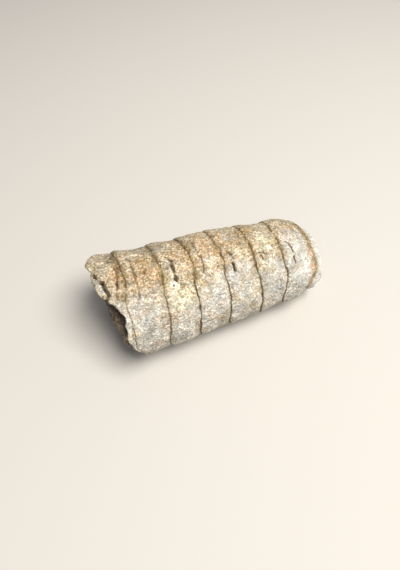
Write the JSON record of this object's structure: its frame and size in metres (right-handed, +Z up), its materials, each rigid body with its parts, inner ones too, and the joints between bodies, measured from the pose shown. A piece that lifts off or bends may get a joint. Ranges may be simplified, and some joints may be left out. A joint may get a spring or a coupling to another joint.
{
  "type": "baculites fossil",
  "caption": "Stone fossil of a straight ammonite shell lying on its flank: a tapering oval shaft ringed by suture grooves, with a broken hollow end and a domed end.",
  "frame": {"origin": "middle of the bounding box, at the level of the surface that the fossil rests on", "axes": "+X along the shell towards the thin end, +Y towards the broad back edge, +Z up"},
  "size_m": [0.0666, 0.0335, 0.0274],
  "materials": {
    "stone": "matte, sugary and grainy, tan on top and grey-white on the flank, with brown sutures"
  },
  "bodies": {
    "root": {"baculites_shell": "stone"}
  },
  "joints": []
}
